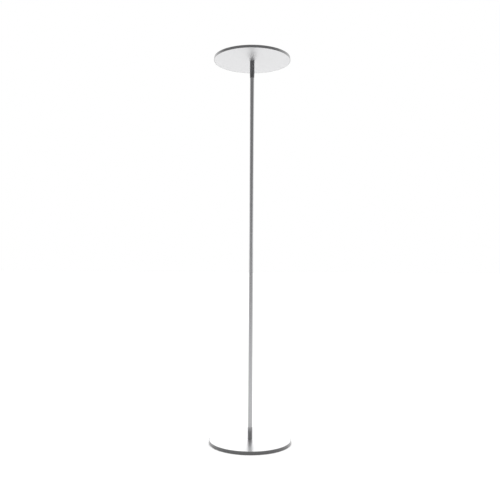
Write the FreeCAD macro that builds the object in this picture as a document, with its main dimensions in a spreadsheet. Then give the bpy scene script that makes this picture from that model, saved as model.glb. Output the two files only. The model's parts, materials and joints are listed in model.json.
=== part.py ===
import FreeCAD, Part
import math
import os
import re

import Sketcher
from FreeCAD import Vector

# A torchiere floor lamp: a ballasted disc base, one straight pole and a flat disc head that
# throws its light upwards. It stands on the XY plane with its pole along +Z and its power
# inlet at the rear, +Y. The sleeve under the head is a rotary dimmer: it turns on the hollow
# spindle that carries the head. Lengths are millimetres and angles are degrees.

DIMENSIONS = {
    # whole lamp
    "lamp_height": 1800,
    "base_radius": 190,
    "base_height": 16,
    "head_radius": 180,
    "head_height": 12,
    "neck_height": 76,          # from the top of the tube to the underside of the head
    # shared by several pieces
    "cut_past": 1,              # how far a cut runs past the face that it opens on
    "hole_play": 0.05,          # between a pin or a thread and the hole that it sits in
    # rim bands of the base and the head
    "band_wall": 1.5,
    "band_edge": 0.4,
    "base_lip_radius": 184,
    "base_lip_height": 1,
    "head_lip_radius": 173,
    "head_lip_height": 0.8,
    # foot pad, ballast and top face of the base
    "pad_radius": 183,
    "pad_height": 2,
    "weight_radius": 188,
    "weight_hole_radius": 12,
    "tape_height": 0.5,
    "tape_inner_radius": 60,
    "face_height": 2,
    "face_radius": 188.4,
    "face_hole_radius": 9.6,
    # pole foot and its screws
    "flange_radius": 32,
    "flange_height": 4,
    "flange_clearance": 0.2,
    "foot_neck_radius": 9.45,
    "spigot_height": 60,
    "foot_bore_radius": 5,
    "foot_mouth_radius": 7,
    "foot_mouth_height": 2.5,
    "foot_screw_count": 4,
    "foot_screw_offset": 16.25,   # each way from the pole's axis
    "foot_screw_radius": 2.95,
    "foot_screw_hole_radius": 3.2,
    "foot_screw_head_radius": 6,
    "foot_screw_head_height": 3.3,
    "foot_screw_length": 10.5,
    "countersink_clearance": 0.2,
    # pole
    "tube_radius": 9.5,
    "tube_bore_radius": 8,
    "plug_radius": 7.95,
    "plug_height": 25,
    "ferrule_radius": 10.8,
    "ferrule_bore_radius": 9.55,
    "ferrule_height": 54,
    "ferrule_shoulder": 1.2,
    # power inlet at the rear of the base
    "inlet_height": 8,
    "cable_height": 6,
    "bush_radius": 5.8,
    "bush_bore_radius": 4.2,
    "bush_cut_radius": 6.1,
    "bush_front": 189.8,
    "jack_front": 184.3,
    "jack_length": 14,
    "jack_width": 10,
    "jack_height": 8.4,
    "jack_bore_radius": 3.15,
    "jack_bore_depth": 9.5,
    "jack_bed_clearance": 0.1,
    "pin_radius": 1,
    "pin_setback": 1,
    "clamp_width": 27,
    "clamp_depth": 7,
    "clamp_height": 1.2,
    "clamp_rear": 172.5,
    "clamp_clearance": 0.3,
    "clamp_screw_spacing": 9.5,
    "clamp_screw_radius": 1.25,
    "clamp_screw_head_radius": 2.35,
    "clamp_screw_length": 6,
    "groove_width": 6,
    "groove_height": 6.5,
    # spindle and its nuts and washers, measured up from the top of the tube
    "spindle_radius": 6.5,
    "spindle_bore_radius": 4.75,
    "spindle_depth": 22,
    "spindle_rise": 6.6,        # above the underside of the head
    "collar_radius": 8.5,
    "collar_height": 2.5,
    "flat_offset": 5.5,
    "flat_bottom": 22,
    "flat_height": 28,
    "slot_width": 2.6,
    "slot_bottom": 49,
    "slot_height": 13,
    "locknut_radius": 8.7,
    "locknut_height": 3,
    "washer_bore_radius": 6.6,
    "thrust_washer_radius": 8.6,
    "thrust_washer_height": 1.9,
    "friction_washer_radius": 8.3,
    "friction_washer_height": 1.3,
    "washer_play": 0.1,
    # end stop of the dimmer
    "stop_bottom": 17,
    "stop_height": 4,
    "stop_ring_radius": 7.6,
    "stop_lug_radius": 8.7,
    "stop_lug_angle": 74,
    "stop_pin_radius": 1,
    "stop_pin_inner": 7.9,
    "stop_pin_outer": 9.6,
    "stop_pin_angle": 45,       # where the pin stands when the dimmer is off
    # rotary dimmer
    "sleeve_radius": 10.8,
    "sleeve_end_radius": 10.05,
    "sleeve_taper": 16,
    "sleeve_bore_radius": 9,
    "sleeve_lip_radius": 9.7,
    "sleeve_lip_height": 4.5,
    "sleeve_overlap": 4,
    "sleeve_gap": 0.4,
    "bush_play": 0.05,
    "lower_bush_bottom": 5,
    "upper_bush_bottom": 64,
    "sleeve_bush_height": 8,
    "magnet_bottom": 33,
    "magnet_height": 6,
    "magnet_bore_radius": 7.75,
    # sensor on the spindle's flat
    "sensor_width": 7,
    "sensor_thickness": 0.8,
    "sensor_bottom": 24,
    "sensor_length": 23,
    "sensor_chip_width": 2.4,
    "sensor_chip_thickness": 0.9,
    "sensor_chip_height": 3,
    # tray and diffuser of the head, measured up from the underside
    "tray_floor": 3,
    "tray_wall": 2.5,
    "tray_height": 8.7,
    "tray_clearance": 0.1,
    "tray_hole_radius": 6.6,
    "gasket_height": 0.5,
    "diffuser_height": 2,
    "diffuser_radius": 178.3,
    "clamp_washer_radius": 20,
    "clamp_washer_height": 1.2,
    "hub_nut_width": 17,
    "hub_nut_height": 2.2,
    # light source
    "sheet_height": 0.5,
    "board_height": 1.5,
    "led_board_inner": 45,
    "led_board_outer": 172,
    "led_width": 2.8,
    "led_length": 3.5,
    "led_height": 0.7,
    "led_ring_count": 3,
    "led_first_ring": 70,
    "led_ring_step": 35,
    "led_first_count": 24,
    "led_count_step": 12,
    "board_screw_count": 6,
    "board_screw_circle": 160,
    "board_screw_radius": 1.45,
    "board_screw_hole_radius": 1.6,
    "board_screw_head_radius": 2.75,
    "board_screw_head_height": 1.8,
    "board_screw_grip": 4.2,
    "reflector_height": 3.6,
    "reflector_inner": 168.5,
    "reflector_edge": 1.5,
    # dimming driver
    "driver_inner": 24,
    "driver_outer": 43,
    "driver_middle": 33.5,
    "inductor_radius": 4,
    "capacitor_radius": 3,
    "capacitor_across": 16.75,
    "capacitor_forward": 28.8,
    "part_height": 2.8,
    "chip_side": 5,
    "chip_height": 1,
    "terminal_front": 25,
    "terminal_length": 8,
    "terminal_width": 8,
    "terminal_height": 3.6,
    "link_count": 2,
    "link_inner": 41,
    "link_length": 7,
    "link_width": 8,
    "link_height": 1.6,
    # cables
    "cable_radius": 2,
    "cable_bend": 12,
    "core_radius": 0.65,
    "core_spacing": 0.8,
    "core_bend": 2.5,
    "core_start_drop": 10,      # below the underside of the head
    "core_level": 7.8,          # above the underside of the head
    "sensor_lead_radius": 0.7,
    "sensor_lead_outer": 7,
    "sensor_lead_inner": 3.4,
    "sensor_lead_crimp": 42,
    "sensor_lead_dip": 51,
    "sensor_lead_rise": 59,
}

# Heights that several pieces share, as expressions of the sheet's aliases.
WEIGHT_TOP = "(base_height - face_height - tape_height)"
HEAD_UNDERSIDE = "(lamp_height - head_height)"
TUBE_TOP = f"({HEAD_UNDERSIDE} - neck_height)"
BOARD_TOP = "(tray_floor + sheet_height + board_height)"
SLEEVE_LENGTH = "(neck_height + sleeve_overlap - sleeve_gap)"
JACK_REAR = "(jack_front - jack_length)"
CLAMP_FLOOR = "(inlet_height + jack_height / 2)"

document = FreeCAD.newDocument("FloorLamp")
sheet = document.addObject("Spreadsheet::Sheet", "Sizes")


def fill_sheet():
    """Write the driving dimensions into the sheet, one named cell to a row."""
    for row, (name, value) in enumerate(DIMENSIONS.items(), start=1):
        sheet.set(f"A{row}", name)
        sheet.set(f"B{row}", str(value))
        sheet.setAlias(f"B{row}", name)
    document.recompute()


def from_sheet(expression):
    """Name the sheet before each alias of an expression."""
    return re.sub(r"[a-z][a-z_]+", r"Sizes.\g<0>", expression)


def bind(item, **expressions):
    """Bind properties of a document object to expressions of the sheet."""
    for name, expression in expressions.items():
        item.setExpression(name.replace("_at_", "."), from_sheet(expression))


# ---- sketches ----

def plane_or_axis(body, role):
    """One of the body's own origin planes or axes."""
    return next(item for item in body.Origin.OriginFeatures if item.Role == role)


def new_body(label, lift="0", many=False):
    """An empty body, lifted to its height on the lamp. A group of solids is allowed if many."""
    body = document.addObject("PartDesign::Body", label)
    body.Label = label
    body.AllowCompound = many
    body.setExpression("Placement.Base.z", from_sheet(lift))
    return body


def new_sketch(body, role, offset="0"):
    """A sketch on one of the body's origin planes, moved along the plane's normal."""
    sketch = body.newObject("Sketcher::SketchObject", "Sketch")
    sketch.AttachmentSupport = [(plane_or_axis(body, role), "")]
    sketch.MapMode = "FlatFace"
    sketch.setExpression("AttachmentOffset.Base.z", from_sheet(offset))
    return sketch


def hold(sketch, geometry, vertex, across, up):
    """Hold one point of a sketch at its two distances from the sketch's origin."""
    for kind, axis, distance in (("DistanceX", -2, across), ("DistanceY", -1, up)):
        if distance == "0":
            sketch.addConstraint(Sketcher.Constraint("PointOnObject", geometry, vertex, axis))
        else:
            rule = Sketcher.Constraint(kind, -1, 1, geometry, vertex, 1.0)
            index = sketch.addConstraint(rule)
            sketch.setExpression(f"Constraints[{index}]", from_sheet(distance))


def draw_outline(sketch, corners):
    """Draw a closed outline with straight sides through corners of (across, up)."""
    first = sketch.GeometryCount
    count = len(corners)
    for index in range(count):
        start = Vector(index, index % 2, 0)
        end = Vector(index + 1, (index + 1) % 2, 0)
        sketch.addGeometry(Part.LineSegment(start, end), False)
    for index, (across, up) in enumerate(corners):
        before = first + (index - 1) % count
        sketch.addConstraint(Sketcher.Constraint("Coincident", before, 2, first + index, 1))
        hold(sketch, first + index, 1, across, up)


def draw_rectangle(sketch, left, right, bottom, top):
    """Draw a rectangle between two distances across and two up."""
    draw_outline(sketch, [(left, bottom), (right, bottom), (right, top), (left, top)])


def draw_circle(sketch, across, up, radius):
    """Draw a circle whose centre and radius are bound to the sheet."""
    index = sketch.addGeometry(Part.Circle(Vector(1, 1, 0), Vector(0, 0, 1), 1), False)
    rule = sketch.addConstraint(Sketcher.Constraint("Radius", index, 1.0))
    sketch.setExpression(f"Constraints[{rule}]", from_sheet(radius))
    hold(sketch, index, 3, across, up)


def draw_hexagon(sketch, width):
    """Draw a hexagon on the origin, its width across flats bound to the sheet."""
    half = f"{width} / 2"
    corner = f"{width} * {math.sqrt(3) / 3}"
    half_side = f"{width} * {math.sqrt(3) / 6}"
    draw_outline(sketch, [
        (corner, "0"), (half_side, half), (f"-{half_side}", half),
        (f"-{corner}", "0"), (f"-{half_side}", f"-{half}"), (half_side, f"-{half}"),
    ])


# ---- features ----

def turn_profile(body, corners, axis_at="0", forward="0", angle=360):
    """Turn an outline of (radius, height) corners about an upright axis.

    The axis stands at x = axis_at, and that distance forward of the body's XZ plane.
    """
    sketch = new_sketch(body, "XZ_Plane", forward)
    turn = body.newObject("PartDesign::Revolution", "Turn")
    if axis_at == "0":
        draw_outline(sketch, corners)
        turn.ReferenceAxis = (sketch, ["V_Axis"])
    else:
        moved = [(f"{axis_at} + {radius}", height) for radius, height in corners]
        draw_outline(sketch, moved)
        axis = sketch.addGeometry(Part.LineSegment(Vector(1, 0, 0), Vector(1, 1, 0)), True)
        hold(sketch, axis, 1, axis_at, "0")
        hold(sketch, axis, 2, axis_at, "1")
        turn.ReferenceAxis = (sketch, ["Axis0"])
    turn.Profile = sketch
    turn.Angle = angle
    turn.Midplane = angle < 360
    return turn


def pad_up(body, sketch, height):
    """Raise a sketch into a solid along its normal."""
    pad = body.newObject("PartDesign::Pad", "Pad")
    pad.Profile = sketch
    bind(pad, Length=height)
    return pad


def cut(body, sketch, depth=""):
    """Cut a sketch back against its normal to a depth, or right through both ways."""
    document.recompute()
    before = body.Shape.Volume
    pocket = body.newObject("PartDesign::Pocket", "Pocket")
    pocket.Profile = sketch
    if depth:
        bind(pocket, Length=depth)
    else:
        pocket.Type = "ThroughAll"
        pocket.Midplane = True
    document.recompute()
    if not body.Shape.Volume < before:
        raise ValueError(f"a pocket in {body.Label} cuts nothing")
    return pocket


def cut_cone(body, x, y, lower_radius, upper_radius, height):
    """Cut an upright cone out of a body, from its XY plane up."""
    document.recompute()
    cone = body.newObject("PartDesign::SubtractiveCone", "Countersink")
    cone.AttachmentSupport = [(plane_or_axis(body, "XY_Plane"), "")]
    cone.MapMode = "FlatFace"
    bind(cone, AttachmentOffset_at_Base_at_x=x, AttachmentOffset_at_Base_at_y=y,
         Radius1=lower_radius, Radius2=upper_radius, Height=height)
    document.recompute()
    return cone


def repeat_around(body, feature, count):
    """Repeat a feature at even angles about the body's Z axis."""
    pattern = body.newObject("PartDesign::PolarPattern", "Around")
    pattern.Originals = [feature]
    pattern.Axis = (plane_or_axis(body, "Z_Axis"), [""])
    pattern.Angle = 360
    bind(pattern, Occurrences=count)
    body.Tip = pattern
    return pattern


def mirror_across(body, feature):
    """Repeat a feature on the other side of the body's YZ plane."""
    mirror = body.newObject("PartDesign::Mirrored", "Other side")
    mirror.Originals = [feature]
    mirror.MirrorPlane = (plane_or_axis(body, "YZ_Plane"), [""])
    body.Tip = mirror
    return mirror


def ring(label, inner, outer, height, lift="0"):
    """A flat ring, or a disc when the inner radius is 0."""
    body = new_body(label, lift)
    turn_profile(body, [(inner, "0"), (outer, "0"), (outer, height), (inner, height)])
    return body


def block(label, width, depth, height, x, y, z):
    """A plain rectangular block with its lowest corner at x, y, z."""
    box = document.addObject("Part::Box", label)
    box.Label = label
    bind(box, Length=width, Width=depth, Height=height)
    bind(box, Placement_at_Base_at_x=x, Placement_at_Base_at_y=y, Placement_at_Base_at_z=z)
    return box


def route(corners, bend):
    """A wire of straight runs through the corners, joined by tangent arcs of one radius."""
    edges = []
    start = corners[0]
    for before, corner, after in zip(corners, corners[1:], corners[2:]):
        inward = (corner - before).normalize()
        outward = (after - corner).normalize()
        half_turn = inward.getAngle(outward) / 2
        reach = bend * math.tan(half_turn)
        towards_centre = (outward - inward).normalize()
        middle = corner + towards_centre * (bend / math.cos(half_turn) - bend)
        arc_start = corner - inward * reach
        arc_end = corner + outward * reach
        edges.append(Part.LineSegment(start, arc_start).toShape())
        edges.append(Part.Arc(arc_start, middle, arc_end).toShape())
        start = arc_end
    edges.append(Part.LineSegment(start, corners[-1]).toShape())
    return Part.Wire(edges)


def lead(label, routes, bend, radius):
    """Round leads along their routes, as one part. Their volume is tested against their length."""
    solids = []
    for corners in routes:
        path = route(corners, bend)
        section = Part.Circle(corners[0], corners[1] - corners[0], radius)
        solid = path.makePipeShell([Part.Wire(section.toShape())], True, False)
        expected = math.pi * radius ** 2 * path.Length
        print(f"{label}: bend {bend} mm, length {path.Length:.1f} mm, "
              f"volume {solid.Volume:.1f} of {expected:.1f} mm3")
        if abs(solid.Volume - expected) > 0.01 * expected:
            raise ValueError(f"{label} has the wrong volume")
        solids.append(solid)
    feature = document.addObject("Part::Feature", label)
    feature.Label = label
    feature.Shape = solids[0] if len(solids) == 1 else Part.makeCompound(solids)
    return feature


# ---- base ----

def base_pad():
    """Foam sheet that the lamp stands on."""
    return ring("base_pad", "0", "pad_radius", "pad_height")


def base_weight():
    """Steel ballast disc, with a recess for the pole foot and a bed for the power inlet."""
    height = f"({WEIGHT_TOP} - pad_height)"
    recess_radius = "flange_radius + flange_clearance"
    recess_floor = f"{height} - flange_height"
    body = new_body("base_weight", "pad_height")
    turn_profile(body, [
        ("weight_hole_radius", "0"), ("weight_radius", "0"), ("weight_radius", height),
        (recess_radius, height), (recess_radius, recess_floor),
        ("weight_hole_radius", recess_floor),
    ])
    cut_foot_screw_holes(body)
    cut_inlet_bed(body, height)
    return body


def cut_foot_screw_holes(body):
    """Countersunk holes that open on the underside of the ballast."""
    sketch = new_sketch(body, "XY_Plane")
    draw_circle(sketch, "foot_screw_offset", "foot_screw_offset", "foot_screw_hole_radius")
    hole = cut(body, sketch)
    repeat_around(body, hole, "foot_screw_count")
    cone = cut_cone(body, "foot_screw_offset", "foot_screw_offset",
                    "foot_screw_head_radius + countersink_clearance", "foot_screw_hole_radius",
                    "foot_screw_head_height")
    repeat_around(body, cone, "foot_screw_count")


def cut_inlet_bed(body, height):
    """The inlet's bed, its clamp's recess, its bush's cut and the cable's groove."""
    half_bed = "(jack_width / 2 + jack_bed_clearance)"
    bed_depth = f"{WEIGHT_TOP} - inlet_height + jack_height / 2"
    bed = new_sketch(body, "XY_Plane", height)
    draw_rectangle(bed, f"-{half_bed}", half_bed, f"{JACK_REAR} - jack_bed_clearance",
                   "weight_radius + cut_past")
    cut(body, bed, bed_depth)

    half_clamp = "(clamp_width / 2 + clamp_clearance)"
    clamp = new_sketch(body, "XY_Plane", height)
    draw_rectangle(clamp, f"-{half_clamp}", half_clamp, "clamp_rear - clamp_clearance",
                   "clamp_rear + clamp_depth + clamp_clearance")
    cut(body, clamp, f"{WEIGHT_TOP} - {CLAMP_FLOOR}")

    screws = new_sketch(body, "XY_Plane", height)
    for side in ("", "-"):
        draw_circle(screws, f"{side}clamp_screw_spacing", "clamp_rear + clamp_depth / 2",
                    "clamp_screw_radius")
    cut(body, screws, f"{WEIGHT_TOP} - {CLAMP_FLOOR} + clamp_screw_length")

    bush = new_sketch(body, "XZ_Plane", "-jack_front")
    draw_circle(bush, "0", "inlet_height - pad_height", "bush_cut_radius")
    cut(body, bush, "weight_radius - jack_front + cut_past")

    groove = new_sketch(body, "XY_Plane", "groove_height")
    draw_rectangle(groove, "-groove_width / 2", "groove_width / 2", "0",
                   f"{JACK_REAR} - jack_bed_clearance")
    cut(body, groove, "groove_height")


def foot_screws():
    """Countersunk screws that come up through the ballast into the pole foot."""
    body = new_body("foot_screws", "pad_height", many=True)
    screw = turn_profile(body, [
        ("0", "0"), ("foot_screw_head_radius", "0"),
        ("foot_screw_radius", "foot_screw_head_height"),
        ("foot_screw_radius", "foot_screw_length"), ("0", "foot_screw_length"),
    ], "foot_screw_offset", "-foot_screw_offset")
    repeat_around(body, screw, "foot_screw_count")
    return body


def pole_foot():
    """Flange in the ballast's recess, with the spigot that the tube screws on to."""
    neck_top = "(flange_height + tape_height + face_height)"
    body = new_body("pole_foot", f"{WEIGHT_TOP} - flange_height")
    turn_profile(body, [
        ("foot_mouth_radius", "0"), ("flange_radius", "0"), ("flange_radius", "flange_height"),
        ("foot_neck_radius", "flange_height"), ("foot_neck_radius", neck_top),
        ("plug_radius", neck_top), ("plug_radius", f"{neck_top} + spigot_height"),
        ("foot_bore_radius", f"{neck_top} + spigot_height"),
        ("foot_bore_radius", "foot_mouth_height"), ("foot_mouth_radius", "foot_mouth_height"),
    ])
    sketch = new_sketch(body, "XY_Plane")
    draw_circle(sketch, "foot_screw_offset", "foot_screw_offset", "foot_screw_radius + hole_play")
    hole = cut(body, sketch)
    repeat_around(body, hole, "foot_screw_count")
    return body


def cover_tape():
    """Adhesive ring that bonds the top face to the ballast."""
    return ring("cover_tape", "tape_inner_radius", "base_lip_radius", "tape_height",
                WEIGHT_TOP)


def base_cover():
    """Thin aluminium top face of the base."""
    body = new_body("base_cover", "base_height - face_height")
    turn_profile(body, [
        ("face_hole_radius", "0"), ("face_radius", "0"),
        ("face_radius", "face_height - band_edge / 2"),
        ("face_radius - band_edge / 2", "face_height"), ("face_hole_radius", "face_height"),
    ])
    return body


def base_band():
    """Rim band of the base, with a lip under the ballast and a hole for the inlet's bush."""
    inner = "(base_radius - band_wall)"
    body = new_body("base_band", "base_lip_height")
    top = "(base_height - base_lip_height)"
    lip_top = "(pad_height - base_lip_height)"
    turn_profile(body, [
        ("base_lip_radius", "0"), ("base_radius - band_edge", "0"),
        ("base_radius", "band_edge"), ("base_radius", f"{top} - band_edge"),
        ("base_radius - band_edge", top), (inner, top), (inner, lip_top),
        ("base_lip_radius", lip_top),
    ])
    sketch = new_sketch(body, "XZ_Plane", "-jack_front")
    draw_circle(sketch, "0", "inlet_height - base_lip_height", "bush_radius")
    cut(body, sketch, "base_radius - jack_front + cut_past")
    return body


def base_ferrule():
    """Sleeve that covers the joint between the tube and the foot."""
    body = new_body("base_ferrule", "base_height")
    turn_profile(body, [
        ("ferrule_bore_radius", "0"), ("ferrule_radius", "0"),
        ("ferrule_radius", "ferrule_height - ferrule_shoulder"),
        ("ferrule_bore_radius", "ferrule_height"),
    ])
    return body


# ---- power inlet ----

def inlet_bush():
    """Plastic bush in the rim, which guides the inlet's plug."""
    body = new_body("inlet_bush", "inlet_height")
    sketch = new_sketch(body, "XZ_Plane", "-bush_front")
    draw_circle(sketch, "0", "0", "bush_radius")
    draw_circle(sketch, "0", "0", "bush_bore_radius")
    pad_up(body, sketch, "bush_front - jack_front")
    return body


def dc_jack():
    """Inlet socket, bored from the rear for the plug's barrel and through for its pin."""
    body = new_body("dc_jack", "inlet_height")
    front = new_sketch(body, "XZ_Plane", "-jack_front")
    draw_rectangle(front, "-jack_width / 2", "jack_width / 2", "-jack_height / 2",
                   "jack_height / 2")
    pad_up(body, front, "jack_length")
    barrel = new_sketch(body, "XZ_Plane", "jack_bore_depth - jack_front")
    draw_circle(barrel, "0", "0", "jack_bore_radius")
    cut(body, barrel, "jack_bore_depth")
    pin_hole = new_sketch(body, "XZ_Plane")
    draw_circle(pin_hole, "0", "0", "pin_radius")
    cut(body, pin_hole)
    return body


def jack_pin():
    """Centre contact of the inlet."""
    body = new_body("jack_pin", "inlet_height")
    sketch = new_sketch(body, "XZ_Plane", "pin_setback - jack_front")
    draw_circle(sketch, "0", "0", "pin_radius")
    pad_up(body, sketch, "jack_length - pin_setback")
    return body


def jack_clamp():
    """Steel strip over the inlet socket, with two countersunk holes."""
    body = new_body("jack_clamp", CLAMP_FLOOR)
    strip = new_sketch(body, "XY_Plane")
    draw_rectangle(strip, "-clamp_width / 2", "clamp_width / 2", "clamp_rear",
                   "clamp_rear + clamp_depth")
    pad_up(body, strip, "clamp_height")
    cone = cut_cone(body, "clamp_screw_spacing", "clamp_rear + clamp_depth / 2",
                    "clamp_screw_radius", "clamp_screw_head_radius", "clamp_height")
    mirror_across(body, cone)
    return body


def jack_screws():
    """Countersunk screws of the inlet's clamp."""
    body = new_body("jack_screws", f"{CLAMP_FLOOR} - clamp_screw_length", many=True)
    head_top = "(clamp_screw_length + clamp_height)"
    screw = turn_profile(body, [
        ("0", "0"), ("clamp_screw_radius", "0"), ("clamp_screw_radius", "clamp_screw_length"),
        ("clamp_screw_head_radius", head_top), ("0", head_top),
    ], "clamp_screw_spacing", "-(clamp_rear + clamp_depth / 2)")
    mirror_across(body, screw)
    return body


# ---- pole and spindle ----

def pole_tube():
    """The pole: one straight steel tube."""
    return ring("pole_tube", "tube_bore_radius", "tube_radius", f"{TUBE_TOP} - base_height",
                "base_height")


def pole_top_insert():
    """Threaded plug fixed in the top of the tube."""
    return ring("pole_top_insert", "spindle_radius", "plug_radius", "plug_height",
                f"{TUBE_TOP} - plug_height")


def spindle():
    """Hollow threaded stem from the tube to the head, with a collar under the head."""
    collar_top = "(spindle_depth + neck_height)"
    collar_bottom = f"({collar_top} - collar_height)"
    top = f"({collar_top} + spindle_rise)"
    body = new_body("spindle", f"{TUBE_TOP} - spindle_depth")
    turn_profile(body, [
        ("spindle_bore_radius", "0"), ("spindle_radius", "0"),
        ("spindle_radius", collar_bottom), ("collar_radius", collar_bottom),
        ("collar_radius", collar_top), ("spindle_radius", collar_top),
        ("spindle_radius", top), ("spindle_bore_radius", top),
    ])
    flat = new_sketch(body, "XY_Plane", "spindle_depth + flat_bottom + flat_height")
    draw_rectangle(flat, "-spindle_radius", "spindle_radius", "flat_offset",
                   "spindle_radius + cut_past")
    cut(body, flat, "flat_height")
    slot = new_sketch(body, "XY_Plane", "spindle_depth + slot_bottom + slot_height")
    draw_rectangle(slot, "-slot_width / 2", "slot_width / 2", "0", "spindle_radius + cut_past")
    cut(body, slot, "slot_height")
    return body


def spindle_locknut():
    """Round nut that locks the spindle on the tube."""
    return ring("spindle_locknut", "spindle_radius", "locknut_radius", "locknut_height",
                TUBE_TOP)


def thrust_washer():
    """Plastic washer that the dimmer's lower bush runs on."""
    return ring("thrust_washer", "washer_bore_radius", "thrust_washer_radius",
                "thrust_washer_height", f"{TUBE_TOP} + locknut_height")


def friction_washer():
    """Plastic washer between the dimmer's upper bush and the spindle's collar."""
    lift = f"{HEAD_UNDERSIDE} - collar_height - washer_play - friction_washer_height"
    return ring("friction_washer", "washer_bore_radius", "friction_washer_radius",
                "friction_washer_height", lift)


def stop_collar():
    """Ring on the spindle, with the lug that the dimmer's pin meets at both ends."""
    body = new_body("stop_collar", f"{TUBE_TOP} + stop_bottom")
    turn_profile(body, [
        ("spindle_radius", "0"), ("stop_ring_radius", "0"),
        ("stop_ring_radius", "stop_height"), ("spindle_radius", "stop_height"),
    ])
    lug = turn_profile(body, [
        ("spindle_radius", "0"), ("stop_lug_radius", "0"),
        ("stop_lug_radius", "stop_height"), ("spindle_radius", "stop_height"),
    ], angle=180)
    bind(lug, Angle="stop_lug_angle")
    return body


def sensor_board():
    """Small circuit board on the spindle's flat."""
    return block("sensor_board", "sensor_width", "sensor_thickness", "sensor_length",
                 "-sensor_width / 2", "flat_offset", f"{TUBE_TOP} + sensor_bottom")


def sensor_chip():
    """Magnetic sensor on the board, level with the magnet ring."""
    middle = f"{TUBE_TOP} + magnet_bottom + magnet_height / 2 - sensor_chip_height / 2"
    return block("sensor_chip", "sensor_chip_width", "sensor_chip_thickness",
                 "sensor_chip_height", "-sensor_chip_width / 2",
                 "flat_offset + sensor_thickness", middle)


# ---- rotary dimmer ----

def dimmer_sleeve():
    """Grip of the dimmer. Its lower end laps over the tube and tapers down to it."""
    body = new_body("dimmer_sleeve", f"{TUBE_TOP} - sleeve_overlap")
    body.setExpression("Placement.Rotation.Angle", from_sheet("stop_pin_angle"))
    turn_profile(body, [
        ("sleeve_lip_radius", "0"), ("sleeve_end_radius", "0"), ("sleeve_radius", "sleeve_taper"),
        ("sleeve_radius", SLEEVE_LENGTH), ("sleeve_bore_radius", SLEEVE_LENGTH),
        ("sleeve_bore_radius", "sleeve_lip_height"), ("sleeve_lip_radius", "sleeve_lip_height"),
    ])
    sketch = new_sketch(body, "YZ_Plane", "stop_pin_outer + hole_play")
    draw_circle(sketch, "0", "sleeve_overlap + stop_bottom + stop_height / 2",
                "stop_pin_radius")
    cut(body, sketch, "stop_pin_outer + hole_play")
    return body


def lower_bush():
    """Plain bearing pressed into the sleeve's lower end."""
    return ring("lower_bush", "spindle_radius + bush_play", "sleeve_bore_radius",
                "sleeve_bush_height", f"{TUBE_TOP} + lower_bush_bottom")


def upper_bush():
    """Plain bearing pressed into the sleeve's upper end."""
    return ring("upper_bush", "spindle_radius + bush_play", "sleeve_bore_radius",
                "sleeve_bush_height", f"{TUBE_TOP} + upper_bush_bottom")


def magnet_ring():
    """Magnetised ring that the sensor reads."""
    return ring("magnet_ring", "magnet_bore_radius", "sleeve_bore_radius", "magnet_height",
                f"{TUBE_TOP} + magnet_bottom")


def stop_pin():
    """Radial pin in the sleeve, which meets the stop collar's lug."""
    body = new_body("stop_pin", f"{TUBE_TOP} + stop_bottom + stop_height / 2")
    body.setExpression("Placement.Rotation.Angle", from_sheet("stop_pin_angle"))
    sketch = new_sketch(body, "YZ_Plane", "stop_pin_inner")
    draw_circle(sketch, "0", "0", "stop_pin_radius")
    pad_up(body, sketch, "stop_pin_outer - stop_pin_inner")
    return body


# ---- head ----

def head_shell():
    """Aluminium tray. Its floor is the head's flat underside."""
    outer = "(head_radius - band_wall - tray_clearance)"
    body = new_body("head_shell", HEAD_UNDERSIDE)
    turn_profile(body, [
        ("tray_hole_radius", "0"), (f"{outer} - band_edge / 2", "0"), (outer, "band_edge / 2"),
        (outer, "tray_height"), (f"{outer} - tray_wall", "tray_height"),
        (f"{outer} - tray_wall", "tray_floor"), ("tray_hole_radius", "tray_floor"),
    ])
    sketch = new_sketch(body, "XY_Plane", "tray_floor")
    draw_circle(sketch, "board_screw_circle", "0", "board_screw_radius")
    hole = cut(body, sketch, f"board_screw_grip - ({BOARD_TOP} - tray_floor)")
    repeat_around(body, hole, "board_screw_count")
    return body


def head_band():
    """Rim band of the head, with a lip over the diffuser."""
    inner = "(head_radius - band_wall)"
    under_lip = "(head_height - head_lip_height)"
    body = new_body("head_band", HEAD_UNDERSIDE)
    turn_profile(body, [
        (inner, "0"), ("head_radius - band_edge", "0"), ("head_radius", "band_edge"),
        ("head_radius", "head_height - band_edge"), ("head_radius - band_edge", "head_height"),
        ("head_lip_radius", "head_height"), ("head_lip_radius", under_lip),
        (inner, under_lip),
    ])
    return body


def clamp_washer():
    """Washer that spreads the hub nut's load over the tray."""
    return ring("clamp_washer", "washer_bore_radius", "clamp_washer_radius",
                "clamp_washer_height", f"{HEAD_UNDERSIDE} + tray_floor")


def hub_nut():
    """Hexagon nut that clamps the tray down on the spindle's collar."""
    body = new_body("hub_nut", f"{HEAD_UNDERSIDE} + tray_floor + clamp_washer_height")
    sketch = new_sketch(body, "XY_Plane")
    draw_hexagon(sketch, "hub_nut_width")
    draw_circle(sketch, "0", "0", "spindle_radius")
    pad_up(body, sketch, "hub_nut_height")
    return body


def screw_holes(body):
    """Drill the holes of the LED board's screws."""
    sketch = new_sketch(body, "XY_Plane")
    draw_circle(sketch, "board_screw_circle", "0", "board_screw_hole_radius")
    hole = cut(body, sketch)
    repeat_around(body, hole, "board_screw_count")
    return body


def thermal_pad():
    """Heat-conducting sheet between the tray and the LED board."""
    return screw_holes(ring("thermal_pad", "led_board_inner", "led_board_outer",
                            "sheet_height", f"{HEAD_UNDERSIDE} + tray_floor"))


def led_board():
    """Ring-shaped aluminium circuit board."""
    return screw_holes(ring("led_board", "led_board_inner", "led_board_outer",
                            "board_height", f"{HEAD_UNDERSIDE} + tray_floor + sheet_height"))


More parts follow.
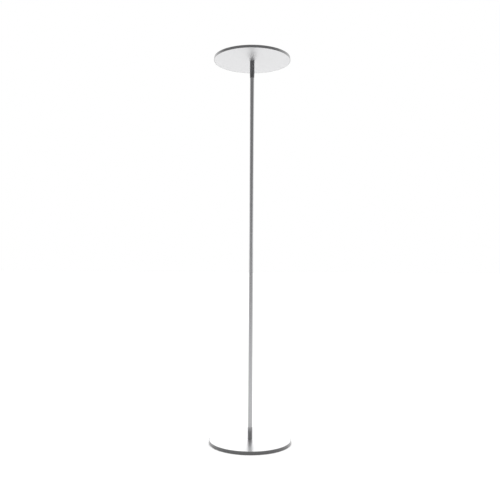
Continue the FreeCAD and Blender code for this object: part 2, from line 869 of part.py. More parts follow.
def led_chips():
    """The light-emitting diodes, in rings round the board."""
    body = new_body("led_chips", f"{HEAD_UNDERSIDE} + {BOARD_TOP}", many=True)
    for number in range(int(sheet.led_ring_count)):
        radius = f"led_first_ring + {number} * led_ring_step"
        sketch = new_sketch(body, "XY_Plane")
        draw_rectangle(sketch, f"{radius} - led_length / 2", f"{radius} + led_length / 2",
                       "-led_width / 2", "led_width / 2")
        chip = pad_up(body, sketch, "led_height")
        repeat_around(body, chip, f"led_first_count + {number} * led_count_step")
    return body


def led_board_screws():
    """Pan-head screws that hold the LED board on the tray."""
    grip_top = "board_screw_grip"
    head_top = "(board_screw_grip + board_screw_head_height)"
    body = new_body("led_board_screws", f"{HEAD_UNDERSIDE} + {BOARD_TOP} - board_screw_grip",
                    many=True)
    screw = turn_profile(body, [
        ("0", "0"), ("board_screw_radius", "0"), ("board_screw_radius", grip_top),
        ("board_screw_head_radius", grip_top), ("board_screw_head_radius", head_top),
        ("0", head_top),
    ], "board_screw_circle")
    repeat_around(body, screw, "board_screw_count")
    return body


def reflector_ring():
    """White sloping ring that turns stray light up to the diffuser."""
    outer = "(head_radius - band_wall - tray_clearance - tray_wall)"
    body = new_body("reflector_ring", f"{HEAD_UNDERSIDE} + {BOARD_TOP}")
    turn_profile(body, [
        ("reflector_inner", "0"), (outer, "0"), (outer, "reflector_height"),
        (f"{outer} - reflector_edge", "reflector_height"),
    ])
    return body


def diffuser_gasket():
    """Thin soft ring between the tray's wall and the diffuser."""
    outer = "(head_radius - band_wall - tray_clearance)"
    return ring("diffuser_gasket", f"{outer} - tray_wall", outer, "gasket_height",
                f"{HEAD_UNDERSIDE} + tray_height")


def diffuser():
    """Opal sheet that closes the top of the head."""
    return ring("diffuser", "0", "diffuser_radius", "diffuser_height",
                f"{HEAD_UNDERSIDE} + tray_height + gasket_height")


# ---- dimming driver ----

def board_insulator():
    """Insulating sheet under the driver's board."""
    return ring("board_insulator", "driver_inner", "driver_outer", "sheet_height",
                f"{HEAD_UNDERSIDE} + tray_floor")


def control_board():
    """Ring-shaped circuit board of the dimming driver, inside the LED board."""
    return ring("control_board", "driver_inner", "driver_outer", "board_height",
                f"{HEAD_UNDERSIDE} + tray_floor + sheet_height")


def control_parts():
    """Inductor, two capacitors, switching chip and the sensor lead's socket, on the board."""
    body = new_body("control_parts", f"{HEAD_UNDERSIDE} + {BOARD_TOP}", many=True)
    sketch = new_sketch(body, "XY_Plane")
    draw_circle(sketch, "0", "-driver_middle", "inductor_radius")
    for side in ("", "-"):
        draw_circle(sketch, f"{side}capacitor_across", "-capacitor_forward",
                    "capacitor_radius")
    pad_up(body, sketch, "part_height")
    chip = new_sketch(body, "XY_Plane")
    draw_rectangle(chip, "-driver_middle - chip_side / 2", "-driver_middle + chip_side / 2",
                   "-chip_side / 2", "chip_side / 2")
    pad_up(body, chip, "chip_height")
    socket = new_sketch(body, "XY_Plane")
    draw_rectangle(socket, "-chip_side / 2", "chip_side / 2", "driver_inner",
                   "driver_inner + chip_side")
    pad_up(body, socket, "terminal_height")
    return body


def terminal_block():
    """Terminals that take the supply's two cores."""
    return block("terminal_block", "terminal_length", "terminal_width", "terminal_height",
                 "terminal_front", "-terminal_width / 2", f"{HEAD_UNDERSIDE} + {BOARD_TOP}")


def board_links():
    """Connectors that bridge the driver's board and the LED board."""
    body = new_body("board_links", f"{HEAD_UNDERSIDE} + {BOARD_TOP}", many=True)
    sketch = new_sketch(body, "XY_Plane")
    draw_rectangle(sketch, "-link_width / 2", "link_width / 2", "link_inner",
                   "link_inner + link_length")
    link = pad_up(body, sketch, "link_height")
    repeat_around(body, link, "link_count")
    return body


# ---- cables, all inside the lamp ----

def supply_cable():
    """Jacketed cable from the inlet, along the ballast's groove and up the pole."""
    rear = sheet.jack_front - sheet.jack_length
    low = sheet.cable_height
    underside = sheet.lamp_height - sheet.head_height
    corners = [Vector(0, rear, low), Vector(0, 0, low),
               Vector(0, 0, underside - sheet.core_start_drop)]
    return lead("supply_cable", [corners], sheet.cable_bend, sheet.cable_radius)


def supply_cores():
    """The cable's two cores, from the end of its jacket over the hub nut to the terminals."""
    underside = sheet.lamp_height - sheet.head_height
    level = underside + sheet.core_level
    routes = [
        [Vector(0, y, underside - sheet.core_start_drop), Vector(0, y, level),
         Vector(sheet.terminal_front, y, level)]
        for y in (-sheet.core_spacing, sheet.core_spacing)
    ]
    return lead("supply_cores", routes, sheet.core_bend, sheet.core_radius)


def sensor_lead():
    """Lead from the sensor board, in through the spindle's slot and up to the driver."""
    underside = sheet.lamp_height - sheet.head_height
    tube_top = underside - sheet.neck_height
    outer = sheet.sensor_lead_outer
    inner = sheet.sensor_lead_inner
    level = underside + sheet.core_level
    corners = [
        Vector(0, outer, tube_top + sheet.sensor_lead_crimp),
        Vector(0, outer, tube_top + sheet.sensor_lead_dip),
        Vector(0, inner, tube_top + sheet.sensor_lead_rise),
        Vector(0, inner, level), Vector(0, sheet.driver_inner, level),
    ]
    return lead("sensor_lead", [corners], sheet.core_bend, sheet.sensor_lead_radius)


PIECES = [
    base_pad, base_weight, foot_screws, pole_foot, cover_tape, base_cover, base_band,
    base_ferrule, inlet_bush, dc_jack, jack_pin, jack_clamp, jack_screws, pole_tube,
    pole_top_insert, spindle, spindle_locknut, thrust_washer, friction_washer, stop_collar,
    sensor_board, sensor_chip, dimmer_sleeve, lower_bush, upper_bush, magnet_ring, stop_pin,
    head_shell, head_band, clamp_washer, hub_nut, thermal_pad, led_board, led_chips,
    led_board_screws, reflector_ring, diffuser_gasket, diffuser, board_insulator,
    control_board, control_parts, terminal_block, board_links, supply_cable, supply_cores,
    sensor_lead,
]


def build():
    """Make every piece, test the whole document and write one file for each piece."""
    fill_sheet()
    pieces = [make() for make in PIECES]
    document.recompute()
    for item in document.Objects:
        if {"Invalid", "Error"} & set(item.State):
            raise ValueError(f"{item.Label} of {item.FullName} did not recompute")
    for piece in pieces:
        if piece.Shape.isNull() or not piece.Shape.isValid():
            raise ValueError(f"{piece.Label} has no valid shape")
    os.makedirs("parts", exist_ok=True)
    for piece in pieces:
        piece.Shape.exportStep(os.path.join("parts", f"{piece.Label}.step"))
    print(f"{len(pieces)} pieces written")


build()
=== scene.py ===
import json
import math

import bmesh
import bpy
from mathutils import Euler, Matrix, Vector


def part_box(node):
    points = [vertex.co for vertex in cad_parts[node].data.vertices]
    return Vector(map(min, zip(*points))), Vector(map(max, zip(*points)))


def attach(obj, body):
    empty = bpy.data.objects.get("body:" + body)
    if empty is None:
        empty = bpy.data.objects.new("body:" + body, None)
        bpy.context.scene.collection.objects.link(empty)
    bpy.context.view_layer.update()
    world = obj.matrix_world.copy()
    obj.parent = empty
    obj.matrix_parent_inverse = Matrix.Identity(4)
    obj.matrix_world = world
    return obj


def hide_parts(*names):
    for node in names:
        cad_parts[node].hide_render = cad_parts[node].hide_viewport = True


# A torchiere floor lamp in a pale studio. Lengths are metres, apart from the outlines of the
# turned pieces, which are millimetres. The lamp stands on the floor at the origin, with its
# pole along +Z and its power inlet at +Y, and the camera looks along +Y.

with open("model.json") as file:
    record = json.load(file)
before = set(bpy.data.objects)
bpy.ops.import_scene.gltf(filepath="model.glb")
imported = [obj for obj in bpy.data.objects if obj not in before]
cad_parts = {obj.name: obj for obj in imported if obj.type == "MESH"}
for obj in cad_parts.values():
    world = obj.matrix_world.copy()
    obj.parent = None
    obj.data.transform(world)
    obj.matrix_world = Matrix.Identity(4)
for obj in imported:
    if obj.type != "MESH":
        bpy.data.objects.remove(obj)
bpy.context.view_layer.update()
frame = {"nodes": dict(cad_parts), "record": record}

MM = 0.001

# Steps round a disc, round the pole and its sleeves, and round the inlet.
DISC_STEPS = 256
POLE_STEPS = 96
INLET_STEPS = 64
CORNER_STEPS = 4
SHARP_ANGLE = math.radians(34)
HOLD_GAP = 0.1 * MM

# Sizes inside the CAD pieces that their boxes don't give, in millimetres.
BAND_WALL = 1.5
BASE_LIP_RADIUS = 184
BASE_LIP_HEIGHT = 1
HEAD_LIP_RADIUS = 173
HEAD_LIP_HEIGHT = 0.8
FACE_HOLE_RADIUS = 9.6
FERRULE_BORE = 9.55
TUBE_BORE = 8
SLEEVE_BORE = 9
SLEEVE_LIP_BORE = 9.7
SLEEVE_LIP_HEIGHT = 4.5
SLEEVE_END_RADIUS = 10.05
SLEEVE_TAPER = 16
TAPER_BLEND = 3
TRAY_FLOOR = 3
TRAY_WALL = 2.5
TRAY_HOLE_RADIUS = 6.6
BUSH_BORE = 4.2

# The grip of the dimmer: fine flutes round the sleeve, above its tapered end.
FLUTE_COUNT = 48
FLUTE_STEPS = 4
FLUTE_DEPTH = 0.22
FLUTE_START = 20
FLUTE_END = 50
FLUTE_RUN_OUT = 1.2


# ---- shapes ----

def to_mesh(shape, mesh):
    """Write a bmesh to a mesh, smooth but for its sharp edges."""
    for face in shape.faces:
        face.smooth = True
    for edge in shape.edges:
        edge.smooth = len(edge.link_faces) == 2 and edge.calc_face_angle() < SHARP_ANGLE
    shape.to_mesh(mesh)
    shape.free()


def to_object(name, shape):
    """Make a bmesh an object at the origin."""
    mesh = bpy.data.meshes.new(name)
    to_mesh(shape, mesh)
    piece = bpy.data.objects.new(name, mesh)
    bpy.context.scene.collection.objects.link(piece)
    return piece


def turned_shape(outline, steps):
    """A bmesh turned about Z from corners of (radius, height, rounding), in millimetres."""
    shape = bmesh.new()
    corners = [shape.verts.new((radius * MM, 0, height * MM)) for radius, height, _ in outline]
    shape.faces.new(corners)
    for corner, (_, _, rounding) in zip(corners, outline):
        if rounding:
            bmesh.ops.bevel(shape, geom=[corner], offset=rounding * MM, segments=CORNER_STEPS,
                            profile=0.5, affect="VERTICES", material=-1)
    bmesh.ops.delete(shape, geom=shape.faces[:], context="FACES_ONLY")
    on_axis = [edge for edge in shape.edges if all(abs(v.co.x) < 1e-7 for v in edge.verts)]
    bmesh.ops.delete(shape, geom=on_axis, context="EDGES")
    hold_ends(shape)
    bmesh.ops.spin(shape, geom=shape.verts[:] + shape.edges[:], cent=(0, 0, 0),
                   axis=(0, 0, 1), angle=math.tau, steps=steps, use_merge=True)
    bmesh.ops.remove_doubles(shape, verts=shape.verts, dist=1e-7)
    bmesh.ops.recalc_face_normals(shape, faces=shape.faces)
    return shape


def hold_ends(outline):
    """Split each long line close to both ends, so that it shades straight beside a rounding."""
    for line in outline.edges[:]:
        start, end = line.verts
        if line.calc_length() > 4 * HOLD_GAP:
            near_start = bmesh.utils.edge_split(line, start, HOLD_GAP / line.calc_length())[1]
            rest = next(edge for edge in near_start.link_edges if end in edge.verts)
            bmesh.utils.edge_split(rest, end, HOLD_GAP / rest.calc_length())


def turned(name, outline, steps=DISC_STEPS):
    """A piece turned about the pole's axis."""
    return to_object(name, turned_shape(outline, steps))


def heights(node):
    """The lowest and highest point of a CAD node, in millimetres."""
    low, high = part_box(node)
    return low.z / MM, high.z / MM


def radius_of(node):
    """The outer radius of a round CAD node, in millimetres."""
    low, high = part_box(node)
    return round(max(high.x, high.y, -low.x, -low.y) / MM, 2)


def place(piece, node, material, body="stand"):
    """Let a piece stand for a CAD node, in the node's body and material slot."""
    piece.data.materials.append(material)
    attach(piece, body)
    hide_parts(node)
    return piece


# ---- shader nodes ----

class Signal:
    """A socket that gives a number, with Python's arithmetic as Math nodes."""

    def __init__(self, nodes, socket):
        self.nodes = nodes
        self.socket = socket

    def reckon(self, operation, *values):
        return self.nodes.add("ShaderNodeMath", {"operation": operation}, dict(enumerate(values)))

    def __add__(self, other):
        return self.reckon("ADD", self, other)

    def __sub__(self, other):
        return self.reckon("SUBTRACT", self, other)

    def __mul__(self, other):
        return self.reckon("MULTIPLY", self, other)

    def __truediv__(self, other):
        return self.reckon("DIVIDE", self, other)

    def __rsub__(self, other):
        return self.reckon("SUBTRACT", other, self)

    __radd__ = __add__
    __rmul__ = __mul__


class Nodes:
    """A node tree that a material or the world is built in."""

    def __init__(self, tree):
        self.tree = tree

    def add(self, kind, settings=None, inputs=None, output=0):
        """A node with its settings, then its inputs by name or number. Gives one output."""
        node = self.tree.nodes.new(kind)
        for name, value in (settings or {}).items():
            if name == "stops":
                set_stops(node.color_ramp, value)
            else:
                setattr(node, name, value)
        for name, value in (inputs or {}).items():
            self.feed(node.inputs[name], value)
        return Signal(self, node.outputs[output])

    def tones(self, value, stops, brightest=1.0):
        """Tones that follow a value through stops of (value, tone), as parts of the brightest."""
        start, end = stops[0][0], stops[-1][0]
        along = self.add("ShaderNodeMapRange", {},
                         {"Value": value, "From Min": start, "From Max": end})
        even = [((place - start) / (end - start), tone / brightest) for place, tone in stops]
        return self.add("ShaderNodeValToRGB", {"stops": even}, {"Fac": along})

    def split(self, vector):
        """The three parts of a vector."""
        parts = self.tree.nodes.new("ShaderNodeSeparateXYZ")
        self.feed(parts.inputs["Vector"], vector)
        return [Signal(self, output) for output in parts.outputs]

    def feed(self, socket, value):
        """Link a signal to a socket, or set the socket's own value."""
        if isinstance(value, Signal):
            self.tree.links.new(value.socket, socket)
        else:
            socket.default_value = value


def set_stops(ramp, stops):
    """Give a colour ramp its stops of (position, brightness or colour)."""
    while len(ramp.elements) < len(stops):
        ramp.elements.new(1.0)
    for element, (position, tone) in zip(ramp.elements, stops):
        element.position = position
        element.color = (tone, tone, tone, 1) if isinstance(tone, (int, float)) else (*tone, 1)


class Finish(Nodes):
    """A material on a Principled shader. Constants are set on the shader's own sockets."""

    def __init__(self, name, **constants):
        self.material = bpy.data.materials.new(name)
        self.material.use_nodes = True
        super().__init__(self.material.node_tree)
        self.shader = self.tree.nodes["Principled BSDF"]
        for socket, value in constants.items():
            self.shader.inputs[socket.replace("_", " ")].default_value = value
        self.position = self.add("ShaderNodeTexCoord", output="Object")

    def noise(self, scale, detail=2.0, stretch=(1, 1, 1)):
        """Noise over the object, finer as scale grows, drawn out along an axis by stretch."""
        spread = self.add("ShaderNodeMapping", {}, {"Vector": self.position, "Scale": stretch})
        return self.add("ShaderNodeTexNoise", {},
                        {"Vector": spread, "Scale": scale, "Detail": detail})

    def range(self, value, low, high, new_low, new_high):
        """A value carried smoothly from one range to another."""
        return self.add("ShaderNodeMapRange", {"interpolation_type": "SMOOTHSTEP"},
                        {"Value": value, "From Min": low, "From Max": high,
                         "To Min": new_low, "To Max": new_high})

    def tint(self, mask, dark, light):
        """Feed the base colour from dark to light as the mask goes from 0 to 1."""
        mix = self.add("ShaderNodeMix", {"data_type": "RGBA"},
                       {"Factor": mask, "A": (*dark, 1), "B": (*light, 1)}, output="Result")
        self.feed(self.shader.inputs["Base Color"], mix)

    def rough(self, value):
        """Feed the roughness."""
        self.feed(self.shader.inputs["Roughness"], value)

    def relief(self, height, depth, strength=1.0):
        """Feed the normal from a height, whose full range is a depth in metres."""
        bump = self.add("ShaderNodeBump", {},
                        {"Height": height, "Distance": depth, "Strength": strength})
        self.feed(self.shader.inputs["Normal"], bump)


# ---- finishes ----

def satin_aluminium(name, paleness, roughness):
    """Bead-blasted and anodised: even, pale and softly reflecting, with faint handling marks."""
    finish = Finish(name, Metallic=1.0)
    cloud = finish.noise(7, 3)
    grain = finish.noise(2600, 2)
    marks = finish.range(finish.noise(26, 5), 0.5, 0.78, 0.0, 1.0)
    pale = (paleness, paleness, 1.01 * paleness)
    finish.tint(cloud, [0.97 * tone for tone in pale], pale)
    finish.rough(roughness + 0.02 * cloud + 0.03 * marks + 0.03 * grain)
    finish.relief(grain, 0.012 * MM, 0.5)
    return finish.material


def graphite_lacquer(name, tone, metallic):
    """Dark satin lacquer with a fine even grain, under a clear coat."""
    finish = Finish(name, Metallic=metallic, Coat_Weight=1.0, Coat_Roughness=0.28,
                    Coat_IOR=1.7)
    grain = finish.noise(1900, 3)
    cloud = finish.noise(9, 2)
    finish.tint(cloud, (0.9 * tone, 0.9 * tone, 0.93 * tone), (tone, tone, 1.03 * tone))
    finish.rough(0.42 + 0.08 * grain)
    finish.relief(grain, 0.02 * MM, 0.6)
    return finish.material


def sleeve_graphite():
    """The sleeves' darker lacquer, smoother than the rims'."""
    finish = Finish("sleeve_graphite", Metallic=0.55)
    grain = finish.noise(1900, 3)
    cloud = finish.noise(30, 2)
    finish.tint(cloud, (0.085, 0.085, 0.089), (0.105, 0.105, 0.109))
    finish.rough(0.27 + 0.07 * grain)
    finish.relief(grain, 0.012 * MM, 0.5)
    return finish.material


def drawn_steel(name, paleness):
    """Drawn and satin-polished steel, with hair lines along the tube."""
    finish = Finish(name, Metallic=1.0, Specular_Tint=(0.5, 0.5, 0.5, 1))
    lines = finish.noise(1400, 2, (1, 1, 0.01))
    cloud = finish.noise(11, 2)
    pale = (paleness, paleness, 1.02 * paleness)
    finish.tint(cloud, [0.95 * tone for tone in pale], pale)
    finish.rough(0.17 + 0.04 * lines + 0.03 * cloud)
    finish.relief(lines, 0.003 * MM, 0.5)
    return finish.material


def plain_steel():
    """Machined steel inside the lamp."""
    finish = Finish("plain_steel", Metallic=1.0)
    lines = finish.noise(900, 2, (1, 1, 6))
    finish.tint(lines, (0.42, 0.42, 0.43), (0.56, 0.56, 0.57))
    finish.rough(0.3 + 0.15 * lines)
    return finish.material


def closed_foam():
    """Black closed-cell foam, pitted where the cells were cut."""
    finish = Finish("closed_foam", Specular_IOR_Level=0.3)
    cells = finish.add("ShaderNodeTexVoronoi", {}, {"Vector": finish.position, "Scale": 700.0})
    finish.tint(cells, (0.018, 0.018, 0.018), (0.035, 0.035, 0.036))
    finish.rough(0.75 + 0.15 * cells)
    finish.relief(cells, 0.25 * MM, 0.6)
    return finish.material


def moulded(name, colour, roughness=0.45):
    """Moulded plastic of one colour, with a fine spark-eroded texture."""
    finish = Finish(name)
    grain = finish.noise(3000, 3)
    finish.tint(grain, [0.85 * tone for tone in colour], colour)
    finish.rough(roughness + 0.12 * grain)
    finish.relief(grain, 0.015 * MM, 0.5)
    return finish.material


def opal_sheet():
    """Opal acrylic, which lets light in a little way."""
    finish = Finish("opal_sheet", Subsurface_Weight=0.35, Subsurface_Scale=0.004,
                    Coat_Weight=0.0)
    cloud = finish.noise(14, 3)
    finish.tint(cloud, (0.57, 0.57, 0.562), (0.6, 0.6, 0.592))
    finish.rough(0.34 + 0.06 * cloud)
    return finish.material


def plated_contact():
    """Plated contact metal."""
    finish = Finish("plated_contact", Metallic=1.0)
    cloud = finish.noise(900, 2)
    finish.tint(cloud, (0.72, 0.58, 0.34), (0.83, 0.70, 0.45))
    finish.rough(0.2 + 0.1 * cloud)
    return finish.material


# ---- base ----

def base_pieces(metal, lacquer, foam):
    """Foot pad, top face and rim band of the base."""
    bottom, top = heights("base_pad")
    radius = radius_of("base_pad")
    pad = turned("foot_pad", [(0, bottom, 0), (radius, bottom, 0.5), (radius, top, 0.2),
                              (0, top, 0)])
    place(pad, "base_pad", foam)

    bottom, top = heights("base_cover")
    radius = radius_of("base_cover")
    face = turned("top_face", [
        (FACE_HOLE_RADIUS, bottom, 0), (radius, bottom, 0), (radius, top, 0.25),
        (FACE_HOLE_RADIUS, top, 0.2),
    ])
    place(face, "base_cover", metal)

    bottom, top = heights("base_band")
    radius = radius_of("base_band")
    inner = radius - BAND_WALL
    lip_top = bottom + BASE_LIP_HEIGHT
    band = turned("base_rim_band", [
        (BASE_LIP_RADIUS, bottom, 0), (radius, bottom, 0.5), (radius, top, 0.45),
        (inner, top, 0.15), (inner, lip_top, 0), (BASE_LIP_RADIUS, lip_top, 0),
    ])
    pierce_for_bush(band)
    place(band, "base_band", lacquer)


def along_y(shape, height):
    """Lay a shape that was turned about Z along +Y instead, at a height in millimetres."""
    lay = Matrix.Translation((0, 0, height * MM)) @ Matrix.Rotation(-math.pi / 2, 4, "X")
    bmesh.ops.transform(shape, matrix=lay, verts=shape.verts)
    return shape


def inlet_axis_height():
    """The height of the inlet's axis, in millimetres."""
    bottom, top = heights("inlet_bush")
    return (bottom + top) / 2


def pierce_for_bush(band):
    """Cut the hole of the inlet's bush through the rim band."""
    low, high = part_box("inlet_bush")
    radius = (high.x - low.x) / 2 / MM
    drill = turned_shape([(0, low.y / MM, 0), (radius, low.y / MM, 0),
                          (radius, 1.1 * high.y / MM, 0), (0, 1.1 * high.y / MM, 0)],
                         INLET_STEPS)
    drill = to_object("drill", along_y(drill, inlet_axis_height()))
    cutter = band.modifiers.new("hole", "BOOLEAN")
    cutter.object = drill
    cutter.solver = "EXACT"
    bpy.context.view_layer.update()
    cut = band.evaluated_get(bpy.context.evaluated_depsgraph_get())
    pierced = bmesh.new()
    pierced.from_mesh(cut.to_mesh())
    cut.to_mesh_clear()
    band.modifiers.clear()
    to_mesh(pierced, band.data)
    bpy.data.objects.remove(drill)


def inlet_pieces(black, contact):
    """Bush, socket and centre pin of the power inlet."""
    height = inlet_axis_height()
    low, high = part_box("inlet_bush")
    rear, front = low.y / MM, high.y / MM
    radius = (high.x - low.x) / 2 / MM
    bush = turned_shape([(BUSH_BORE, rear, 0), (radius, rear, 0), (radius, front, 0.4),
                         (BUSH_BORE, front, 0.7)], INLET_STEPS)
    place(to_object("bush_of_inlet", along_y(bush, height)), "inlet_bush", black)

    low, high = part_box("jack_pin")
    radius = (high.x - low.x) / 2 / MM
    pin = turned_shape([(0, low.y / MM, 0), (radius, low.y / MM, 0),
                        (radius, high.y / MM, 0.6), (0, high.y / MM, 0)], INLET_STEPS)
    place(to_object("pin_of_inlet", along_y(pin, height)), "jack_pin", contact)


# ---- pole ----

def pole_pieces(steel, ferrule_steel_painted_shade):
    """The tube and the ferrule at its foot."""
    bottom, top = heights("pole_tube")
    radius = radius_of("pole_tube")
    tube = turned("satin_pole", [
        (TUBE_BORE, bottom, 0), (radius, bottom, 0.2), (radius, top, 0.3),
        (TUBE_BORE, top, 0.2),
    ], POLE_STEPS)
    place(tube, "pole_tube", steel)

    bottom, top = heights("base_ferrule")
    radius = radius_of("base_ferrule")
    ferrule = turned("foot_ferrule", [
        (FERRULE_BORE, bottom, 0), (radius, bottom, 0.3), (radius, top, 1.1),
        (FERRULE_BORE, top, 0),
    ], POLE_STEPS)
    place(ferrule, "base_ferrule", ferrule_steel_painted_shade)


def dimmer_pieces(lacquer):
    """The sleeve that turns, with a fluted grip round its middle."""
    bottom, top = heights("dimmer_sleeve")
    radius = radius_of("dimmer_sleeve")
    step = bottom + SLEEVE_LIP_HEIGHT
    shape = turned_shape([
        (SLEEVE_LIP_BORE, bottom, 0), (SLEEVE_END_RADIUS, bottom, 0.15),
        (radius, bottom + SLEEVE_TAPER, TAPER_BLEND), (radius, top, 0.4),
        (SLEEVE_BORE, top, 0.2), (SLEEVE_BORE, step, 0), (SLEEVE_LIP_BORE, step, 0),
    ], FLUTE_COUNT * FLUTE_STEPS)
    cut_flutes(shape, radius, bottom)
    place(to_object("dimmer_grip", shape), "dimmer_sleeve", lacquer, "dimmer")


def cut_flutes(shape, radius, bottom):
    """Press fine upright flutes into the outside of the sleeve."""
    levels = (FLUTE_START, FLUTE_START + FLUTE_RUN_OUT, FLUTE_END - FLUTE_RUN_OUT, FLUTE_END)
    for level in levels:
        bmesh.ops.bisect_plane(shape, geom=shape.verts[:] + shape.edges[:] + shape.faces[:],
                               plane_co=(0, 0, (bottom + level) * MM), plane_no=(0, 0, 1))
    low, high = (bottom + levels[1] - 0.1) * MM, (bottom + levels[2] + 0.1) * MM
    for vert in shape.verts:
        distance = vert.co.xy.length
        if distance > (radius - 0.05) * MM and low < vert.co.z < high:
            angle = math.atan2(vert.co.y, vert.co.x)
            press = FLUTE_DEPTH * MM * (1 - math.cos(angle * FLUTE_COUNT)) / 2
            vert.co.xy *= (distance - press) / distance


# ---- head ----

def head_pieces(metal, lacquer, opal):
    """Tray, rim band and diffuser of the head."""
    bottom, top = heights("head_shell")
    radius = radius_of("head_shell")
    inner = radius - TRAY_WALL
    floor = bottom + TRAY_FLOOR
    tray = turned("head_tray", [
        (TRAY_HOLE_RADIUS, bottom, 0.2), (radius, bottom, 0.25), (radius, top, 0),
        (inner, top, 0), (inner, floor, 0), (TRAY_HOLE_RADIUS, floor, 0),
    ])
    place(tray, "head_shell", metal)

    bottom, top = heights("head_band")
    radius = radius_of("head_band")
    inner = radius - BAND_WALL
    under_lip = top - HEAD_LIP_HEIGHT
    band = turned("head_rim_band", [
        (inner, bottom, 0.15), (radius, bottom, 0.45), (radius, top, 0.45),
        (HEAD_LIP_RADIUS, top, 0.3), (HEAD_LIP_RADIUS, under_lip, 0), (inner, under_lip, 0),
    ])
    place(band, "head_band", lacquer)

    bottom, top = heights("diffuser")
    radius = radius_of("diffuser")
    sheet = turned("opal_diffuser", [(0, bottom, 0), (radius, bottom, 0.2),
                                     (radius, top, 0.2), (0, top, 0)])
    place(sheet, "diffuser", opal)


# ---- CAD pieces that keep their shape ----

def finish_nodes(finishes):
    """Give every CAD node that still shows a finish, by its material slot."""
    for part in frame["record"]["subparts"]:
        node = frame["nodes"][part["node"]]
        if not node.hide_render:
            for slot in node.material_slots:
                slot.material = finishes[part["material_slot"]]


# ---- studio ----

FLOOR_SIZE = 120

# A grey card lies on the floor in front, for the lamp's metal to mirror. Its tones go from its
# far edge to its near one, by the distance behind the lamp.
CARD_WIDTH = 40
CARD_LIFT = 2 * MM
CARD_TONES = [(-40, 0.42), (-12, 0.5), (-5, 0.68), (-2.2, 0.8), (-0.8, 0.88)]

# Brightness of the backdrop and of the dim side of the room, by the sine of the elevation.
BRIGHTEST = 2.1
BACKDROP_TONES = [(-1.0, 0.85), (-0.03, 1.0), (0.0, 1.7), (0.04, BRIGHTEST), (0.12, 2.0),
                  (0.22, 1.95), (0.27, 1.6), (0.31, 1.05), (0.35, 1.3), (0.42, 1.2), (1.0, 0.7)]
ROOM_TONES = [(-1.0, 0.9), (-0.1, 0.75), (0.0, 0.62), (0.058, 0.56), (0.125, 0.42),
              (0.19, 0.35), (0.24, 0.41), (0.31, 0.43), (0.4, 0.38), (0.55, 0.5),
              (1.0, 1.6)]

# The backdrop wraps this far forward round the lamp, and on the left less the higher it is.
WRAP_START = -0.30
WRAP_END = -0.12
WRAP_SLOPE = 1.5

CAMERA_DISTANCE = 2.814
CAMERA_HEIGHT = 0.8235
CAMERA_PITCH = math.radians(1.46)
CAMERA_ROLL = math.radians(0.344)
CAMERA_ASIDE = -0.0052
CAMERA_LENS = 43.23


def floor():
    """A pale floor that melts into the backdrop."""
    shape = bmesh.new()
    bmesh.ops.create_grid(shape, x_segments=1, y_segments=1, size=FLOOR_SIZE / 2)
    ground = to_object("studio_floor", shape)
    finish = Finish("pale_floor", Specular_IOR_Level=0.0)
    cloud = finish.noise(0.6, 1)
    finish.tint(cloud, (0.87, 0.87, 0.87), (0.89, 0.89, 0.89))
    finish.rough(0.9 + 0.05 * cloud)
    ground.data.materials.append(finish.material)


def card():
    """The grey card, which nothing but a reflection shows."""
    rear, front = CARD_TONES[0][0], CARD_TONES[-1][0]
    shape = bmesh.new()
    bmesh.ops.create_grid(shape, x_segments=1, y_segments=1, size=0.5)
    bmesh.ops.scale(shape, vec=(CARD_WIDTH, front - rear, 1), verts=shape.verts)
    bmesh.ops.translate(shape, vec=(0, (front + rear) / 2, CARD_LIFT), verts=shape.verts)
    sheet = to_object("grey_card", shape)
    sheet.visible_camera = False
    sheet.visible_diffuse = False
    sheet.visible_shadow = False
    finish = Finish("card_grey", Specular_IOR_Level=0.0, Roughness=0.95)
    distance = finish.split(finish.position)[1]
    finish.feed(finish.shader.inputs["Base Color"], finish.tones(distance, CARD_TONES))
    sheet.data.materials.append(finish.material)


def studio_world():
    """Pale behind the lamp, dim in front of it, and plain white to the camera itself."""
    world = bpy.data.worlds.new("studio")
    world.use_nodes = True
    bpy.context.scene.world = world
    nodes = Nodes(world.node_tree)
    aside, depth, height = nodes.split(nodes.add("ShaderNodeTexCoord", output="Generated"))
    backdrop = nodes.tones(height, BACKDROP_TONES, BRIGHTEST)
    room = nodes.tones(height, ROOM_TONES, BRIGHTEST)
    leftness = nodes.add("ShaderNodeMapRange", {"interpolation_type": "SMOOTHSTEP"},
                         {"Value": aside, "From Min": 0.3, "From Max": -0.3, "To Min": 0.4})
    slope = WRAP_SLOPE * height.reckon("ABSOLUTE", height) * leftness
    behind = nodes.add("ShaderNodeMapRange", {"interpolation_type": "SMOOTHSTEP"},
                       {"Value": depth - slope, "From Min": WRAP_START, "From Max": WRAP_END})
    around = nodes.add("ShaderNodeMix", {"data_type": "RGBA"},
                       {"Factor": behind, "A": room, "B": backdrop}, output="Result")
    seen = nodes.add("ShaderNodeLightPath", output="Is Camera Ray")
    shown = nodes.add("ShaderNodeMix", {"data_type": "RGBA"},
                      {"Factor": seen, "A": around, "B": (1, 1, 1, 1)}, output="Result")
    background = world.node_tree.nodes["Background"].inputs
    nodes.feed(background["Color"], shown)
    nodes.feed(background["Strength"], BRIGHTEST + (1 - BRIGHTEST) * seen)


def sun(name, azimuth, elevation, strength, softness):
    """A broad soft light from far off, which shiny surfaces don't mirror."""
    lamp = bpy.data.lights.new(name, "SUN")
    lamp.energy = strength
    lamp.angle = math.radians(softness)
    light = bpy.data.objects.new(name, lamp)
    light.rotation_euler = Euler((math.radians(90 - elevation), 0, math.radians(azimuth)))
    light.visible_glossy = False
    bpy.context.scene.collection.objects.link(light)


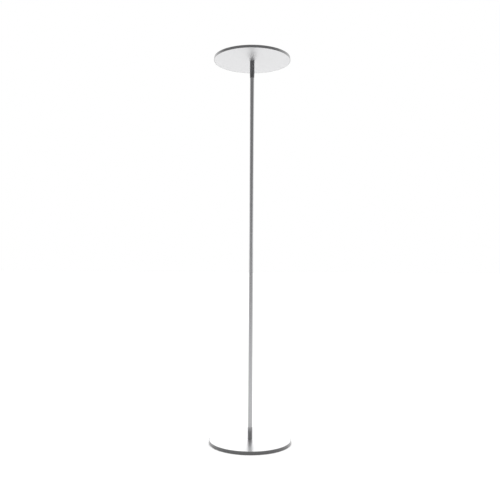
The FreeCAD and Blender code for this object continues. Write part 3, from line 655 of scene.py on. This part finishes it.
def camera():
    """The camera, level with the middle of the pole."""
    lens = bpy.data.cameras.new("camera")
    lens.lens = CAMERA_LENS
    lens.clip_end = 200
    view = bpy.data.objects.new("camera", lens)
    bpy.context.scene.collection.objects.link(view)
    turn = Matrix.Rotation(math.pi / 2 + CAMERA_PITCH, 4, "X")
    roll = Matrix.Rotation(CAMERA_ROLL, 4, "Z")
    view.matrix_world = (Matrix.Translation((CAMERA_ASIDE, -CAMERA_DISTANCE, CAMERA_HEIGHT))
                         @ turn @ roll)
    bpy.context.scene.camera = view


def build_lamp():
    """Every visible piece of the lamp, then the finishes of what stays as it is in CAD."""
    metal = satin_aluminium("satin_face", 0.77, 0.29)
    # The head tray's copy of the satin aluminium is rougher, and its lower paleness is painted
    # shade on the tray's underside
    matt_metal_painted_shade = satin_aluminium("satin_underside_painted_shade", 0.65, 0.44)
    # The base rim's copy of the graphite lacquer is far darker than the head rim's: painted
    # shade, for the dark reflection along the base rim
    base_lacquer_painted_shade = graphite_lacquer("base_graphite_painted_shade", 0.04, 0.5)
    head_lacquer = graphite_lacquer("head_graphite", 0.15, 0.85)
    sleeve = sleeve_graphite()
    steel = drawn_steel("pole_steel", 0.4)
    # The ferrule's copy of the pole steel is darker: painted shade for the darkening at the foot
    # of the pole, just above the base
    ferrule_steel_painted_shade = drawn_steel("ferrule_steel_painted_shade", 0.33)
    machined = plain_steel()
    foam = closed_foam()
    black = moulded("black_plastic", (0.02, 0.02, 0.021))
    opal = opal_sheet()
    contact = plated_contact()
    base_pieces(metal, base_lacquer_painted_shade, foam)
    inlet_pieces(black, contact)
    pole_pieces(steel, ferrule_steel_painted_shade)
    dimmer_pieces(sleeve)
    head_pieces(matt_metal_painted_shade, head_lacquer, opal)
    finish_nodes({
        "silver_face": metal, "graphite": sleeve, "pole_steel": steel,
        "plain_steel": machined, "foam": foam, "opal": opal, "contact": contact,
        "black_plastic": black, "component": black, "cable_jacket": black,
        "magnet": moulded("sintered_magnet", (0.06, 0.06, 0.065)),
        "adhesive": moulded("adhesive_tape", (0.62, 0.61, 0.57)),
        "bearing_plastic": moulded("natural_plastic", (0.78, 0.77, 0.72)),
        "circuit_board": moulded("green_board", (0.03, 0.18, 0.08), 0.3),
        "white_board": moulded("white_board", (0.85, 0.85, 0.83), 0.35),
        "led": moulded("yellow_phosphor", (0.85, 0.68, 0.16), 0.3),
        "grey_pad": moulded("grey_silicone", (0.32, 0.33, 0.35), 0.6),
        "insulator": moulded("amber_film", (0.62, 0.42, 0.12), 0.25),
        "green_plastic": moulded("green_plastic", (0.06, 0.32, 0.12)),
        "white_plastic": moulded("white_plastic", (0.84, 0.84, 0.83)),
        "core_sheath": moulded("red_sheath", (0.5, 0.05, 0.04)),
    })


bpy.context.scene.view_settings.view_transform = "Standard"
camera()
build_lamp()
floor()
card()
studio_world()
sun("key", -35, 52, 0.85, 40)
sun("fill", 40, 58, 0.7, 50)
